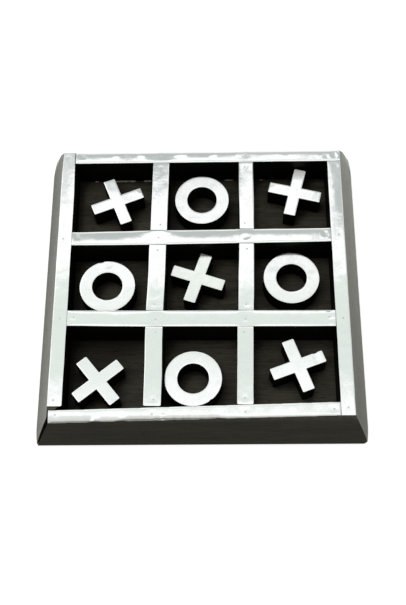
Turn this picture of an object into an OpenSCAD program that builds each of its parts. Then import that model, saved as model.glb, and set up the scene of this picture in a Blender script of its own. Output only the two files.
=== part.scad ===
// Tic-tac-toe board: a bevelled wooden frame with nine sunken wells, its rim and bars
// faced with pinned strips of sheet metal, and a set of metal-faced crosses and rings.
// The origin is in the middle of the underside. The board lies flat, and its front is at -Y.

/* [Frame] */
// Width and depth of the board over its rounded foot
board_side = 250; // [215:1:320]
// Height of the wooden frame, without its metal facing
frame_h = 32; // [27:0.5:44]
// Lean of the outer faces from upright, in degrees
bevel_angle = 22.5; // [10:0.5:28]
// Rounding of the foot's outer edge
foot_round = 1.5; // [0.6:0.1:2.2]
// Worn rounding at the foot of the two rear corners
rear_corner_round = 9; // [3.5:0.5:11]
// Worn rounding at the foot of the front right corner
front_corner_round = 3.5; // [3.5:0.5:11]
// Width of the left rail's flat top
left_land = 10.6; // [8:0.1:14]
// Width of the right rail's flat top
right_land = 10.4; // [8:0.1:14]
// Width of the rear rail's flat top
rear_land = 10.2; // [8:0.1:14]
// Width of the front rail's flat top at its left end, where it was cut on a slant
front_land_left = 5.2; // [4:0.1:14]
// Width of the front rail's flat top at its right end
front_land_right = 10.1; // [4:0.1:14]
// Open seam in the mitre at the front left corner
mitre_gap = 1.2; // [0:0.1:1.5]

/* [Floor] */
// Thickness of the floor panel
floor_t = 3.6; // [2:0.1:6]
// How far the floor panel reaches into the rails' rebates
floor_seat = 5; // [2:0.5:7]
// Play between the floor panel's edge and its rebate
floor_play = 0.15; // [0.1:0.05:0.4]

/* [Bars] */
// Clear width of the middle column of wells
middle_well_w = 56; // [50:0.5:66]
// Clear depth of the middle row of wells
middle_well_d = 56.8; // [50:0.2:66]
// How far the middle well's centre lies to the right of the board's
grid_shift_x = 0.5; // [-2:0.1:2]
// How far the middle well's centre lies behind the board's
grid_shift_y = -0.5; // [-2:0.1:2]
// Width of the rear row bar
rear_bar_w = 12.5; // [9:0.1:15]
// Width of the front row bar
front_bar_w = 13; // [9:0.1:15]
// Width of the left column bar
left_bar_w = 12.9; // [9:0.1:15]
// Width of the right column bar
right_bar_w = 11.9; // [9:0.1:15]
// How far the rear row bar runs back on its way to the right
rear_bar_lean = 1.5; // [-4:0.1:4]
// How far the front row bar runs back on its way to the right
front_bar_lean = -1.4; // [-4:0.1:4]
// How far the left column bar runs right on its way to the rear
left_bar_lean = 3.3; // [-4:0.1:4]
// How far the right column bar runs right on its way to the rear
right_bar_lean = 3.7; // [-4:0.1:4]
// Play in the halved joints where the bars cross
lap_play = 0.1; // [0.05:0.05:0.4]

/* [Metal facing] */
// Thickness of the sheet metal
sheet_t = 0.5; // [0.3:0.1:1]
// Gap where one strip butts against the next
butt_gap = 0.25; // [0.1:0.05:0.6]
// Full width of the front strip, part of which folds down over the bevel
front_strip_w = 10.4; // [9:0.1:14]
// How far the front strip stops short of the left edge
front_strip_short = 1.2; // [0.5:0.1:3]
// Bare wood between the left strip's front end and the front strip
left_strip_short = 3; // [0.3:0.1:5]
// Bare wood between the left column's front strip and the front strip
left_column_short = 1.2; // [0.3:0.1:4]

/* [Pins] */
// Diameter of a pin's shank
pin_d = 0.9; // [0.7:0.1:1.4]
// Diameter of a pin's head
pin_head_d = 1.7; // [1.5:0.1:2.6]
// Height of a pin's domed head
pin_head_h = 0.4; // [0.3:0.1:0.8]
// Length of a pin below its head
pin_l = 10; // [6:0.5:11]
// How far a pin stands in from the end of its strip
pin_inset = 4.8; // [3:0.1:8]
// How far the hand-set pins wander from the middle of their strips
pin_wander = 1.2; // [0:0.1:2]
// Play round a shank in the wood
pin_play_wood = 0.02; // [0.02:0.01:0.05]
// Play round a shank in the sheet metal
pin_play_sheet = 0.05; // [0.03:0.01:0.1]

/* [Playing pieces] */
// Thickness of the wooden body of a cross or a ring
piece_t = 17; // [10:0.5:21]
// Thickness of the metal face on a piece
face_t = 0.5; // [0.3:0.1:1]
// How far a metal face stays inside its body's outline
face_inset = 0.15; // [0:0.05:0.5]
// Span of a cross from the end of one arm to the end of the opposite one
cross_span = 42.7; // [34:0.1:45]
// Width of a cross's arms
cross_arm_w = 9.6; // [6:0.1:14]
// Rounding of a cross's outer corners
cross_corner_r = 0.9; // [0.3:0.1:2]
// Outer diameter of a ring
ring_d = 43.6; // [34:0.1:48]
// Diameter of the hole in a ring
ring_hole_d = 23.6; // [16:0.1:28]
// Least distance between a piece and the wall of its well
well_play = 0.5; // [0.4:0.1:1.5]
// Rear left cross: right and rearward of its well's middle, then its turn in degrees
cross_rear_left_at = [2.5, 2.1, 21.5]; // [-90:0.1:90]
// Rear right cross, given in the same way
cross_rear_right_at = [3.8, 8.6, 75.9]; // [-90:0.1:90]
// Centre cross, given in the same way
cross_centre_at = [-3.2, 4.4, 71.2]; // [-90:0.1:90]
// Front left cross, given in the same way
cross_front_left_at = [-5.8, -6.8, 39.1]; // [-90:0.1:90]
// Front right cross, given in the same way
cross_front_right_at = [2.4, 3.2, 20.5]; // [-90:0.1:90]
// Rear ring, given in the same way
ring_rear_at = [-1.3, 2.3, 0]; // [-90:0.1:90]
// Left ring, given in the same way
ring_left_at = [-2.3, -2.2, 0]; // [-90:0.1:90]
// Right ring, given in the same way
ring_right_at = [-0.8, 3.6, 0]; // [-90:0.1:90]
// Front ring, given in the same way
ring_front_at = [-5.1, -6.1, 0]; // [-90:0.1:90]

/* [Hidden] */

$fn = 64;
// Overshoot of a cutting shape past the face that it cuts
cut = 1;
// Points along a small rounded corner
arc_steps = 4;
// How far the worn surface of a corner stands proud of one that runs smoothly into the faces
wear_crease = 0.2;

BLACK_WOOD = "#1f1e1a";
FLOOR_BROWN = "#2b2722";
SHEET = "#d8dddc";
STEEL = "#9a9c9b";

// Half sizes of the frame: at a sharp foot, and at the edge of its top
foot_tangent = foot_round / tan((90 - bevel_angle) / 2);
sharp_half = board_side / 2 + foot_tangent - foot_round;
top_half = sharp_half - frame_h * tan(bevel_angle);

// The rails' inner faces
inner_left = -top_half + left_land;
inner_right = top_half - right_land;
inner_rear = top_half - rear_land;
inner_front_slope = (front_land_right - front_land_left) / (inner_right - inner_left);
inner_w = inner_right - inner_left;
inner_front_low = -top_half + min(front_land_left, front_land_right);
function inner_front(x) = -top_half + front_land_left + inner_front_slope * (x - inner_left);

// Plan of the rails: past the foot, and where the mitres reach the front rail's inner face
plan_half = sharp_half + cut;
function left_mitre_y(set_back) =
    (inner_front(0) + set_back * inner_front_slope) / (1 - inner_front_slope);
right_mitre_y = inner_front(0) / (1 + inner_front_slope);

// Rows of bars count from the rear, and columns from the left
ROW_W = [rear_bar_w, front_bar_w];
COLUMN_W = [left_bar_w, right_bar_w];
row_mid = [
    grid_shift_y + middle_well_d / 2 + rear_bar_w / 2,
    grid_shift_y - middle_well_d / 2 - front_bar_w / 2
];
column_mid = [
    grid_shift_x - middle_well_w / 2 - left_bar_w / 2,
    grid_shift_x + middle_well_w / 2 + right_bar_w / 2
];
ROW_LEAN = [rear_bar_lean, front_bar_lean];
COLUMN_LEAN = [left_bar_lean, right_bar_lean];
function row_y(i, x) = row_mid[i] + ROW_LEAN[i] * x / inner_w;
function column_x(j, y) = column_mid[j] + COLUMN_LEAN[j] * y / inner_w;
bar_h = frame_h - floor_t;
lap_z = floor_t + bar_h / 2;

// Walls of the well in a column and a row, near a given place
function well_left(col, y) = col == 0 ? inner_left : column_x(col - 1, y) + COLUMN_W[col - 1] / 2;
function well_right(col, y) = col == 2 ? inner_right : column_x(col, y) - COLUMN_W[col] / 2;
function well_rear(row, x) = row == 0 ? inner_rear : row_y(row - 1, x) - ROW_W[row - 1] / 2;
function well_front(row, x) = row == 2 ? inner_front(x) : row_y(row, x) + ROW_W[row] / 2;

// A piece keeps its own place in the well, or as near to it as the walls allow
function column_guess(col) = (well_left(col, 0) + well_right(col, 0)) / 2;
function row_guess(row) = (well_rear(row, 0) + well_front(row, 0)) / 2;
function settled(low, high, reach, shift) =
    let (room = max(0, (high - low) / 2 - reach - well_play))
    (low + high) / 2 + max(-room, min(room, shift));
function piece_x(col, row, at, reach) =
    let (y = row_guess(row) + at[1])
    settled(well_left(col, y), well_right(col, y), reach, at[0]);
function piece_y(col, row, at, reach) =
    let (x = column_guess(col) + at[0])
    settled(well_front(row, x), well_rear(row, x), reach, at[1]);
function cross_reach(turn) =
    let (lean = abs(45 - abs(turn % 90)))
    cross_span / 2 * sin(45 + lean) + cross_arm_w / 2 * cos(45 + lean);
ring_reach = ring_d / 2;

// Front strip: what folds over the bevel at a place along it
function fold_drop(x) = max(0.2, front_strip_w - (inner_front(x) + top_half));
front_strip_left = -top_half + front_strip_short;
front_strip_right = inner_right - butt_gap;

// Pins: places on the rim, the row strips and the column strips
pin_edge = pin_head_d;
function wander(k) = pin_wander * sin(97 * k);
function front_pin_y(x) = max(-top_half + pin_edge, inner_front(x) - front_strip_w / 2);
left_rim_x = (inner_left - top_half) / 2;
right_rim_x = (inner_right + top_half) / 2;
rear_rim_y = (inner_rear + top_half) / 2;
left_strip_end = inner_front(inner_left) + left_strip_short;
left_rim_pins = [
    [left_rim_x - pin_wander, top_half - pin_inset],
    [left_rim_x - pin_wander, row_y(0, inner_left)],
    [left_rim_x, row_y(1, inner_left)],
    [left_rim_x - pin_wander, left_strip_end + pin_inset]
];
rear_rim_pins = [
    [inner_left + butt_gap + pin_inset, rear_rim_y + pin_wander],
    [column_x(0, inner_rear), rear_rim_y + pin_wander],
    [column_x(1, inner_rear), rear_rim_y + pin_wander],
    [top_half - pin_inset, rear_rim_y]
];
right_rim_pins = [
    [right_rim_x + pin_wander, inner_rear - butt_gap - pin_inset],
    [right_rim_x + pin_wander / 2, row_y(0, inner_right)],
    [right_rim_x, row_y(1, inner_right)],
    [right_rim_x, -top_half + pin_inset + pin_wander]
];
front_rim_pins = [
    for (x = [
        front_strip_left + pin_inset, column_x(0, inner_front_low),
        column_x(1, inner_front_low), front_strip_right - pin_inset
    ]) [x, front_pin_y(x)]
];
rim_pin_places = concat(left_rim_pins, rear_rim_pins, right_rim_pins, front_rim_pins);
function row_pin_places(i) = [
    for (k = [0:3]) let (x = [
        inner_left + butt_gap + pin_inset, column_x(0, row_mid[i]),
        column_x(1, row_mid[i]), inner_right - butt_gap - pin_inset
    ][k]) [x, row_y(i, x) + wander(k + 4 * i + 1)]
];
function segment_rear(j, k) =
    k == 0 ? inner_rear - butt_gap
    : row_y(k - 1, column_mid[j]) - ROW_W[k - 1] / 2 - butt_gap;
function segment_front(j, k) =
    k == 2 ? inner_front(column_mid[j]) + column_front_gap(j)
    : row_y(k, column_mid[j]) + ROW_W[k] / 2 + butt_gap;
function column_front_gap(j) = j == 0 ? left_column_short : butt_gap;
function segment_pin_places(j, k) = [
    for (n = [0, 1]) let (y = n == 0 ? segment_rear(j, k) - pin_inset : segment_front(j, k) + pin_inset)
    [column_x(j, y) + wander(2 * k + n + 6 * j), y]
];
function column_pin_places(j) = [for (k = [0:2]) each segment_pin_places(j, k)];

// Outline of one side of the frame from foot to top, with the sharp foot at a given reach
function side_outline(reach, top) = concat(
    [for (i = [0:arc_steps]) let (a = -90 + i * (90 + bevel_angle) / arc_steps)
        [reach - foot_tangent + foot_round * cos(a), foot_round + foot_round * sin(a)]],
    [[reach - top * tan(bevel_angle), top]]
);
function flipped(points) = [for (i = [len(points) - 1:-1:0]) [-points[i][0], points[i][1]]];

// The solid block that the four rails are sawn from: leaning sides and a rounded foot
module frame_across() {
    points = side_outline(sharp_half, frame_h);
    rotate([90, 0, 0])
        linear_extrude(height = 2 * sharp_half + 2 * cut, center = true)
            polygon(concat(points, flipped(points)));
}

module frame_block() {
    intersection() {
        frame_across();
        rotate(90) frame_across();
    }
}

// What is worn away at a corner, leaving a cone that flares down to its foot and meets
// the leaning faces at a faint crease
module corner_wear(r) {
    radius = min(r, frame_h * tan(bevel_angle));
    reach = radius + wear_crease;
    tip = reach / tan(bevel_angle);
    translate([sharp_half - radius, sharp_half - radius, 0])
        difference() {
            translate([0, 0, -cut]) cube([radius + cut, radius + cut, tip + cut]);
            rotate(225) rotate_extrude() polygon(concat([[0, 0]], side_outline(reach, tip)));
        }
}

module corner_wears() {
    corner_wear(rear_corner_round);
    rotate(90) corner_wear(rear_corner_round);
    rotate(-90) corner_wear(front_corner_round);
}

// Plan shapes: the opening inside the rails, the rails, the bars
module inside_plan() {
    polygon([
        [inner_left, inner_front(inner_left)], [inner_right, inner_front(inner_right)],
        [inner_right, inner_rear], [inner_left, inner_rear]
    ]);
}

// The front rail's left mitre is set back, which leaves its seam open
module front_plan() {
    set_back = mitre_gap * sqrt(2);
    y = left_mitre_y(set_back);
    polygon([
        [set_back - plan_half, -plan_half], [plan_half, -plan_half],
        [-right_mitre_y, right_mitre_y], [y + set_back, y]
    ]);
}

module rear_plan() {
    polygon([
        [plan_half, plan_half], [-plan_half, plan_half],
        [-inner_rear, inner_rear], [inner_rear, inner_rear]
    ]);
}

module left_plan() {
    polygon([
        [-plan_half, -plan_half], [left_mitre_y(0), left_mitre_y(0)],
        [inner_left, inner_front(inner_left)], [inner_left, inner_rear],
        [-inner_rear, inner_rear], [-plan_half, plan_half]
    ]);
}

module right_plan() {
    polygon([
        [plan_half, -plan_half], [plan_half, plan_half],
        [inner_rear, inner_rear], [inner_right, inner_rear],
        [inner_right, inner_front(inner_right)], [-right_mitre_y, right_mitre_y]
    ]);
}

module bar_line_row(i, grow) {
    x = sharp_half;
    w = ROW_W[i] / 2 + grow;
    polygon([
        [-x, row_y(i, -x) - w], [x, row_y(i, x) - w],
        [x, row_y(i, x) + w], [-x, row_y(i, -x) + w]
    ]);
}

module bar_line_column(j, grow) {
    y = sharp_half;
    w = COLUMN_W[j] / 2 + grow;
    polygon([
        [column_x(j, -y) - w, -y], [column_x(j, -y) + w, -y],
        [column_x(j, y) + w, y], [column_x(j, y) - w, y]
    ]);
}

// Floor panel, and the rebate that it fills
module floor_block(play) {
    x0 = inner_left - floor_seat - play;
    x1 = inner_right + floor_seat + play;
    y0 = inner_front_low - floor_seat - play;
    y1 = inner_rear + floor_seat + play;
    translate([x0, y0, play > 0 ? -cut : 0])
        cube([x1 - x0, y1 - y0, play > 0 ? floor_t + cut : floor_t]);
}

module floor_panel() {
    color(FLOOR_BROWN) floor_block(0);
}

module pin_holes(places, play) {
    for (p = places)
        translate([p[0], p[1], frame_h + sheet_t - pin_l - play])
            cylinder(d = pin_d + 2 * play, h = pin_l + cut);
}

// Rails: the frame block inside a plan shape, rebated below for the floor; a pin near a
// mitre may stand in the rail beside its own
module rail() {
    color(BLACK_WOOD)
        difference() {
            intersection() {
                frame_block();
                translate([0, 0, -cut]) linear_extrude(height = frame_h + 2 * cut) children();
            }
            floor_block(floor_play);
            corner_wears();
            pin_holes(rim_pin_places, pin_play_wood);
        }
}

module rail_front() {
    rail() front_plan();
}

module rail_rear() {
    rail() rear_plan();
}

module rail_left() {
    rail() left_plan();
}

module rail_right() {
    rail() right_plan();
}

// Bars stand on the floor panel; row bars are halved from below, column bars from above
module row_bar(i) {
    color(BLACK_WOOD)
        difference() {
            translate([0, 0, floor_t])
                linear_extrude(height = bar_h)
                    intersection() {
                        inside_plan();
                        bar_line_row(i, 0);
                    }
            for (j = [0, 1])
                translate([0, 0, floor_t - cut])
                    linear_extrude(height = bar_h / 2 + cut)
                        bar_line_column(j, lap_play);
            pin_holes(row_pin_places(i), pin_play_wood);
        }
}

module column_bar(j) {
    color(BLACK_WOOD)
        difference() {
            translate([0, 0, floor_t])
                linear_extrude(height = bar_h)
                    intersection() {
                        inside_plan();
                        bar_line_column(j, 0);
                    }
            for (i = [0, 1])
                translate([0, 0, lap_z])
                    linear_extrude(height = bar_h / 2 + cut)
                        bar_line_row(i, lap_play);
            pin_holes(column_pin_places(j), pin_play_wood);
        }
}

// Strips of sheet metal lie flat on the wood, each drilled for its own pins
module flat_strip(pins) {
    color(SHEET)
        difference() {
            translate([0, 0, frame_h]) linear_extrude(height = sheet_t) children();
            pin_holes(pins, pin_play_sheet);
        }
}

module strip_left() {
    flat_strip(left_rim_pins)
        translate([-top_half, left_strip_end])
            square([left_land, top_half - left_strip_end]);
}

module strip_rear() {
    flat_strip(rear_rim_pins)
        translate([inner_left + butt_gap, inner_rear])
            square([top_half - inner_left - butt_gap, rear_land]);
}

module strip_right() {
    flat_strip(right_rim_pins)
        translate([inner_right, -top_half])
            square([right_land, inner_rear - butt_gap + top_half]);
}

// Section of the front strip: flat on the rail, then round the edge and down the bevel
function fold_section(drop) = concat(
    [[0, frame_h], [-top_half, frame_h]],
    [[-top_half - drop * sin(bevel_angle), frame_h - drop * cos(bevel_angle)]],
    [[-top_half - drop * sin(bevel_angle) - sheet_t * cos(bevel_angle),
        frame_h - drop * cos(bevel_angle) + sheet_t * sin(bevel_angle)]],
    [for (i = [arc_steps:-1:0]) let (a = i * (90 - bevel_angle) / arc_steps)
        [-top_half - sheet_t * sin(a), frame_h + sheet_t * cos(a)]],
    [[0, frame_h + sheet_t]]
);

module strip_front() {
    x0 = front_strip_left;
    x1 = front_strip_right;
    longest = max(fold_drop(x0), fold_drop(x1)) + cut;
    color(SHEET)
        difference() {
            translate([x0, 0, 0])
                rotate([90, 0, 90])
                    linear_extrude(height = x1 - x0) polygon(fold_section(longest));
            // The well side follows the front rail's slanted inner face
            translate([0, 0, frame_h - cut])
                linear_extrude(height = sheet_t + 2 * cut)
                    polygon([
                        [x0 - cut, inner_front(x0 - cut)], [x1 + cut, inner_front(x1 + cut)],
                        [x1 + cut, cut], [x0 - cut, cut]
                    ]);
            // The folded side is cut to the strip's full width
            translate([0, -top_half, frame_h])
                rotate([90 - bevel_angle, 0, 0])
                    translate([0, 0, -cut])
                        linear_extrude(height = sheet_t + 2 * cut)
                            polygon([
                                [x0 - cut, -fold_drop(x0)], [x1 + cut, -fold_drop(x1)],
                                [x1 + cut, -longest - cut], [x0 - cut, -longest - cut]
                            ]);
            pin_holes(front_rim_pins, pin_play_sheet);
        }
}

module row_strip(i) {
    flat_strip(row_pin_places(i))
        intersection() {
            bar_line_row(i, 0);
            translate([inner_left + butt_gap, -top_half])
                square([inner_w - 2 * butt_gap, 2 * top_half]);
        }
}

// A column's facing is in three lengths, butted against the row strips
module column_strip(j, k) {
    flat_strip(segment_pin_places(j, k))
        difference() {
            intersection() {
                bar_line_column(j, 0);
                translate([-top_half, segment_front(j, k) - cut])
                    square([2 * top_half, segment_rear(j, k) - segment_front(j, k) + 2 * cut]);
            }
            for (i = [0, 1])
                bar_line_row(i, butt_gap);
            translate([-top_half, inner_rear - butt_gap]) square([2 * top_half, rear_land]);
            polygon([
                [-top_half, -top_half], [top_half, -top_half],
                [top_half, inner_front(top_half) + column_front_gap(j)],
                [-top_half, inner_front(-top_half) + column_front_gap(j)]
            ]);
        }
}

// Pin: a domed head on a plain shank
module pins(places) {
    r = pin_head_d / 2;
    color(STEEL)
        for (p = places)
            translate([p[0], p[1], frame_h + sheet_t]) {
                rotate_extrude($fn = 24)
                    polygon([[0, 0], [r, 0], [0.9 * r, pin_head_h / 2], [0.5 * r, pin_head_h], [0, pin_head_h]]);
                translate([0, 0, -pin_l]) cylinder(d = pin_d, h = pin_l + pin_head_h / 2, $fn = 24);
            }
}

module rim_pins() {
    pins(rim_pin_places);
}

module row_pins() {
    pins(concat(row_pin_places(0), row_pin_places(1)));
}

module column_pins() {
    pins(concat(column_pin_places(0), column_pin_places(1)));
}

// Outline of a cross: four arms with softened outer corners and sharp inner ones
function corner_arc(x, y, r, from) = [
    for (i = [0:arc_steps]) let (a = from + i * 90 / arc_steps) [x + r * cos(a), y + r * sin(a)]
];
function turned(points, a) = [
    for (p = points) [p[0] * cos(a) - p[1] * sin(a), p[0] * sin(a) + p[1] * cos(a)]
];
function cross_arm(half_span, half_w, r) = concat(
    [[half_w, -half_w]],
    corner_arc(half_span - r, -half_w + r, r, -90),
    corner_arc(half_span - r, half_w - r, r, 0)
);

module cross_outline(inset) {
    arm = cross_arm(cross_span / 2 - inset, cross_arm_w / 2 - inset, cross_corner_r);
    polygon([for (a = [0:90:270]) each turned(arm, a)]);
}

module cross_at(col, row, at, z) {
    reach = cross_reach(at[2]);
    translate([piece_x(col, row, at, reach), piece_y(col, row, at, reach), z])
        rotate(at[2]) children();
}

module cross_block(col, row, at) {
    color(BLACK_WOOD)
        cross_at(col, row, at, floor_t) linear_extrude(height = piece_t) cross_outline(0);
}

module cross_face(col, row, at) {
    color(SHEET)
        cross_at(col, row, at, floor_t + piece_t)
            linear_extrude(height = face_t) cross_outline(face_inset);
}

// Outline of a ring
module ring_at(col, row, at, z) {
    translate([piece_x(col, row, at, ring_reach), piece_y(col, row, at, ring_reach), z]) children();
}

module washer(outer, hole, h) {
    difference() {
        cylinder(d = outer, h = h, $fn = 96);
        translate([0, 0, -cut]) cylinder(d = hole, h = h + 2 * cut, $fn = 96);
    }
}

module ring_block(col, row, at) {
    color(BLACK_WOOD) ring_at(col, row, at, floor_t) washer(ring_d, ring_hole_d, piece_t);
}

module ring_face(col, row, at) {
    color(SHEET)
        ring_at(col, row, at, floor_t + piece_t)
            washer(ring_d - 2 * face_inset, ring_hole_d + 2 * face_inset, face_t);
}

floor_panel();
rail_front();
rail_rear();
rail_left();
rail_right();
row_bar(0);  // row_bar_rear
row_bar(1);  // row_bar_front
column_bar(0);  // column_bar_left
column_bar(1);  // column_bar_right
strip_front();
strip_rear();
strip_left();
strip_right();
row_strip(0);  // row_strip_rear
row_strip(1);  // row_strip_front
column_strip(0, 0);  // column_strip_left_rear
column_strip(0, 1);  // column_strip_left_middle
column_strip(0, 2);  // column_strip_left_front
column_strip(1, 0);  // column_strip_right_rear
column_strip(1, 1);  // column_strip_right_middle
column_strip(1, 2);  // column_strip_right_front
rim_pins();
row_pins();
column_pins();
cross_block(0, 0, cross_rear_left_at);  // cross_rear_left
cross_block(2, 0, cross_rear_right_at);  // cross_rear_right
cross_block(1, 1, cross_centre_at);  // cross_centre
cross_block(0, 2, cross_front_left_at);  // cross_front_left
cross_block(2, 2, cross_front_right_at);  // cross_front_right
cross_face(0, 0, cross_rear_left_at);  // cross_face_rear_left
cross_face(2, 0, cross_rear_right_at);  // cross_face_rear_right
cross_face(1, 1, cross_centre_at);  // cross_face_centre
cross_face(0, 2, cross_front_left_at);  // cross_face_front_left
cross_face(2, 2, cross_front_right_at);  // cross_face_front_right
ring_block(1, 0, ring_rear_at);  // ring_rear
ring_block(0, 1, ring_left_at);  // ring_left
ring_block(2, 1, ring_right_at);  // ring_right
ring_block(1, 2, ring_front_at);  // ring_front
ring_face(1, 0, ring_rear_at);  // ring_face_rear
ring_face(0, 1, ring_left_at);  // ring_face_left
ring_face(2, 1, ring_right_at);  // ring_face_right
ring_face(1, 2, ring_front_at);  // ring_face_front
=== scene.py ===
"""Looks of a tic-tac-toe board: black stained wood, pinned sheet metal, loose crosses and rings.

The board lies on z = 0 with its front at -Y. Sizes are in millimetres, and MM makes metres of them.
"""
import math
import random

import bmesh
import bpy
from mathutils import Matrix, Vector


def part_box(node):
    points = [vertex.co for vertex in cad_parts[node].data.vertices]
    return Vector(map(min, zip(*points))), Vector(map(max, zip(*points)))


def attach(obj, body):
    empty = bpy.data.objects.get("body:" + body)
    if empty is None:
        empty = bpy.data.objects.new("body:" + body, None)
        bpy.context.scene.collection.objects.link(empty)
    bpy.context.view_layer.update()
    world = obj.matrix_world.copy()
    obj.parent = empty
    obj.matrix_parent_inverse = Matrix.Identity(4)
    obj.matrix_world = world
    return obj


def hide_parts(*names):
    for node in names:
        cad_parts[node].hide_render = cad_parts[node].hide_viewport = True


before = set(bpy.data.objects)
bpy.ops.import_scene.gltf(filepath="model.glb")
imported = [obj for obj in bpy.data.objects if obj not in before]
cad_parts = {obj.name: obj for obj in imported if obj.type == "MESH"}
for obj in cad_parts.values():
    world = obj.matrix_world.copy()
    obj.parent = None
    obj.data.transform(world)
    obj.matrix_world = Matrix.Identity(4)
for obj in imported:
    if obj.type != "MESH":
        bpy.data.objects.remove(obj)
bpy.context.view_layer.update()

MM = 0.001
CHANCE = random.Random(11)

# The wooden frame: its height, the half widths of its sharp foot and of its flat top, the lean of
# its outer faces, and the faces inside it
TOP = 32.0
FOOT = 125.745
EDGE = 112.490
LEAN = math.radians(22.5)
INNER_LEFT = -101.89
INNER_RIGHT = 102.09
INNER_REAR = 102.29

# The front rail's inner face is slanted, so its flat top is wider at its right end
FRONT_LAND_LEFT = 5.2
FRONT_LAND_RIGHT = 10.1
FRONT_SLOPE = (FRONT_LAND_RIGHT - FRONT_LAND_LEFT) / (INNER_RIGHT - INNER_LEFT)

# The floor panel and the depth of its seat in the rails
FLOOR_TOP = 3.6
SEAT = 5.15

# Where the facing, the pieces' blocks and the pieces' faces end at the top
SHEET_TOP = 32.5
PIECE_TOP = 20.6
FACE_TOP = PIECE_TOP + 0.5


def inner_front(x):
    """Place of the front rail's slanted inner face at x."""
    return -EDGE + FRONT_LAND_LEFT + FRONT_SLOPE * (x - INNER_LEFT)


def fan(right, rear, degrees):
    """A level direction, so many degrees from right or left towards the rear or the front."""
    angle = math.radians(degrees)
    return Vector((right * math.cos(angle), rear * math.sin(angle), 0))


def tilted(out, lean):
    """A level direction turned up by a lean."""
    return out * math.cos(lean) + Vector((0, 0, math.sin(lean)))


# Making pieces

def begin(name, add, **place):
    """Adds a primitive, names it, settles its place in its mesh and starts to shape it."""
    bpy.ops.object.select_all(action="DESELECT")
    add(**place)
    piece = bpy.context.object
    piece.name = name
    piece.data.name = name
    bpy.ops.object.transform_apply(location=True, rotation=True, scale=True)
    bpy.ops.object.mode_set(mode="EDIT")
    return piece


def add_block(name, low, high):
    """A block of wood between two corners."""
    low, high = Vector(low), Vector(high)
    return begin(name, bpy.ops.mesh.primitive_cube_add, size=1,
                 location=(low + high) / 2 * MM, scale=(high - low) * MM)


def add_sheet(name, wide, deep, columns, rows, centre):
    """A flat sheet of small cells."""
    piece = begin(name, bpy.ops.mesh.primitive_grid_add, size=1, x_subdivisions=columns,
                  y_subdivisions=rows, location=centre * MM)
    select_all()
    bpy.ops.transform.resize(value=(wide * MM, deep * MM, 1), center_override=centre * MM)
    return piece


def select_all():
    """Selects the whole of the piece that is being shaped."""
    bpy.ops.mesh.select_all(action="SELECT")


def pick(piece, kind, wanted):
    """Selects the wanted verts, edges or faces of the piece, and nothing else."""
    kinds = ("verts", "edges", "faces")
    bpy.context.tool_settings.mesh_select_mode = [kind == each for each in kinds]
    bpy.ops.mesh.select_all(action="DESELECT")
    mesh = bmesh.from_edit_mesh(piece.data)
    mesh.verts.index_update()
    for element in {"verts": mesh.verts, "edges": mesh.edges, "faces": mesh.faces}[kind]:
        if wanted(element):
            element.select_set(True)
    mesh.select_flush_mode()
    bmesh.update_edit_mesh(piece.data)


def saw(point, away, close=True, part=False):
    """Saws off what lies on the away side of a plane, from all or from the selected part."""
    if not part:
        select_all()
    bpy.ops.mesh.bisect(
        plane_co=Vector(point) * MM, plane_no=away, use_fill=close, clear_outer=True)


def turn(angle, axis, centre):
    """Turns what is selected, counter-clockwise as seen from the axis's far end."""
    bpy.ops.transform.rotate(value=-angle, orient_axis=axis, center_override=Vector(centre) * MM)


def press(piece, wanted, move, reach, falloff="SMOOTH"):
    """Pushes the wanted vertices, and what lies within reach of them by less."""
    pick(piece, "verts", wanted)
    bpy.ops.transform.translate(
        value=Vector(move) * MM, use_proportional_edit=True,
        proportional_edit_falloff=falloff, proportional_size=reach * MM)


def squeeze(shares, centre, reach, falloff="SMOOTH"):
    """Scales what is selected about a centre, and what lies within reach of it by less."""
    bpy.ops.transform.resize(
        value=shares, center_override=Vector(centre) * MM, use_proportional_edit=True,
        proportional_edit_falloff=falloff, proportional_size=reach * MM)


def near(x, y, within=1.0):
    """Vertices close to a place in plan."""
    spot = Vector((x, y)) * MM
    return lambda vert: (vert.co.xy - spot).length < within * MM


def meeting(is_one, is_other):
    """Edges where two kinds of face meet."""
    def wanted(edge):
        if len(edge.link_faces) != 2:
            return False
        first, second = edge.link_faces
        return (is_one(first) and is_other(second)) or (is_one(second) and is_other(first))
    return wanted


def ease(piece, wanted, width, steps):
    """Rounds the wanted edges."""
    pick(piece, "edges", wanted)
    bpy.ops.mesh.bevel(offset=width * MM, offset_type="OFFSET", segments=steps, profile=0.5,
                       affect="EDGES")


def modify(piece, kind, **values):
    """Sets up a modifier and applies it."""
    bpy.ops.object.mode_set(mode="OBJECT")
    bpy.context.view_layer.objects.active = piece
    modifier = piece.modifiers.new(kind.lower(), kind)
    for key, value in values.items():
        setattr(modifier, key, value)
    bpy.ops.object.modifier_apply(modifier=modifier.name)


def warp(piece, size, depth, direction="Z"):
    """Makes the piece uneven: patches about so large, pushed up to so deep each way."""
    clouds = bpy.data.textures.new("unevenness", "CLOUDS")
    clouds.noise_scale = size * MM
    clouds.noise_depth = 1
    modify(piece, "DISPLACE", texture=clouds, strength=2 * depth * MM, mid_level=0.5,
           direction=direction, texture_coords="LOCAL")


def roll_edges(piece, depth, reach, wanted=lambda vert: True):
    """Hammers the edges of a sheet down a little, all of them or the wanted ones."""
    bpy.ops.object.mode_set(mode="EDIT")
    press(piece, lambda v: v.is_boundary and wanted(v), (0, 0, -depth), reach, "SHARP")
    bpy.ops.object.mode_set(mode="OBJECT")


def thicken(piece, thickness, arris):
    """Gives a sheet its thickness below its face, and takes the sharpness off its edges."""
    modify(piece, "SOLIDIFY", thickness=thickness * MM, offset=-1.0, use_even_offset=True)
    take_off_arrises(piece, arris, 3)


def take_off_arrises(piece, width, steps):
    """Rounds every sharp edge of the piece a little."""
    modify(piece, "BEVEL", width=width * MM, segments=steps, limit_method="ANGLE",
           angle_limit=math.radians(50))


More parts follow.
